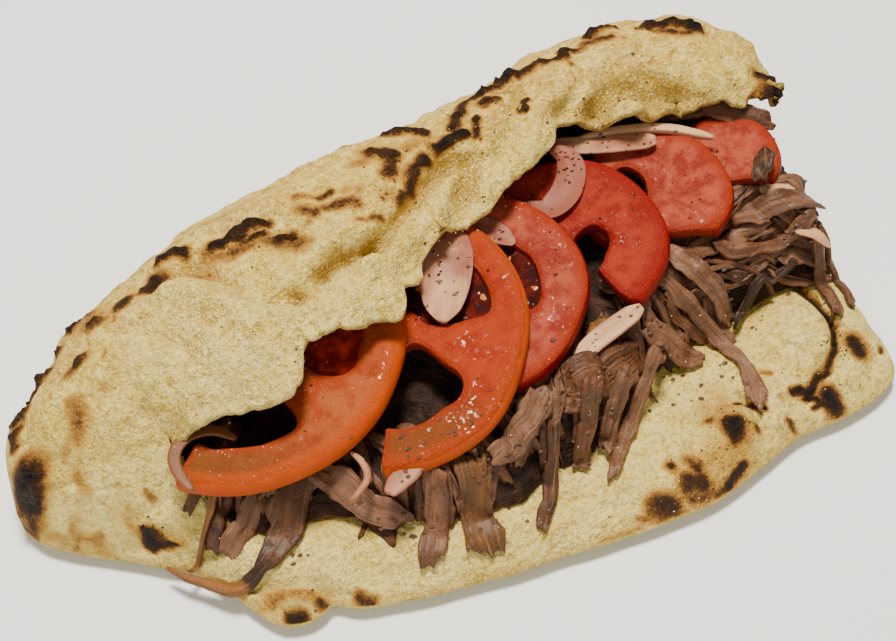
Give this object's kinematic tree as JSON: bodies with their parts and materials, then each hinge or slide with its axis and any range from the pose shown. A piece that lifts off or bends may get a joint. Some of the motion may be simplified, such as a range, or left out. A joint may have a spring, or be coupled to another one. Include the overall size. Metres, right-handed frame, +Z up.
{
  "type": "doner kebab sandwich",
  "caption": "Doner kebab sandwich: a blown, charred flatbread slit open along one side and filled with shaved meat, tomato slices and onion.",
  "frame": {"origin": "under the middle of the sandwich's bounding box, on the surface it lies on", "axes": "+X along the bread from its closed left end to its open right end, -Y towards the open side, +Z up"},
  "size_m": [0.259, 0.146, 0.0642],
  "materials": {
    "bread": "dry baked crust with charred blisters",
    "meat": "moist, fibrous",
    "tomato": "wet cut flesh",
    "onion": "moist, slightly translucent"
  },
  "bodies": {
    "root": {"bread": "bread", "meat_heap": "meat", "tomato_slice_1": "tomato", "tomato_slice_2": "tomato", "tomato_slice_3": "tomato", "tomato_slice_4": "tomato", "tomato_slice_5": "tomato", "tomato_slice_6": "tomato", "meat_strip_1": "meat", "meat_strip_2": "meat", "meat_strip_3": "meat", "meat_strip_4": "meat", "meat_strip_5": "meat", "meat_strip_6": "meat", "meat_strip_7": "meat", "meat_strip_8": "meat", "meat_strip_9": "meat", "meat_strip_10": "meat", "meat_strip_11": "meat", "meat_strip_12": "meat", "meat_strip_13": "meat", "meat_strip_14": "meat", "meat_strip_15": "meat", "meat_strip_16": "meat", "meat_strip_17": "meat", "meat_strip_18": "meat", "meat_strip_19": "meat", "meat_strip_20": "meat", "meat_strip_21": "meat", "onion_piece_1": "onion", "onion_piece_2": "onion", "onion_piece_3": "onion", "onion_piece_4": "onion", "onion_piece_5": "onion", "onion_piece_6": "onion", "onion_piece_7": "onion", "onion_piece_8": "onion", "onion_piece_9": "onion", "onion_piece_10": "onion", "onion_piece_11": "onion"}
  },
  "joints": []
}
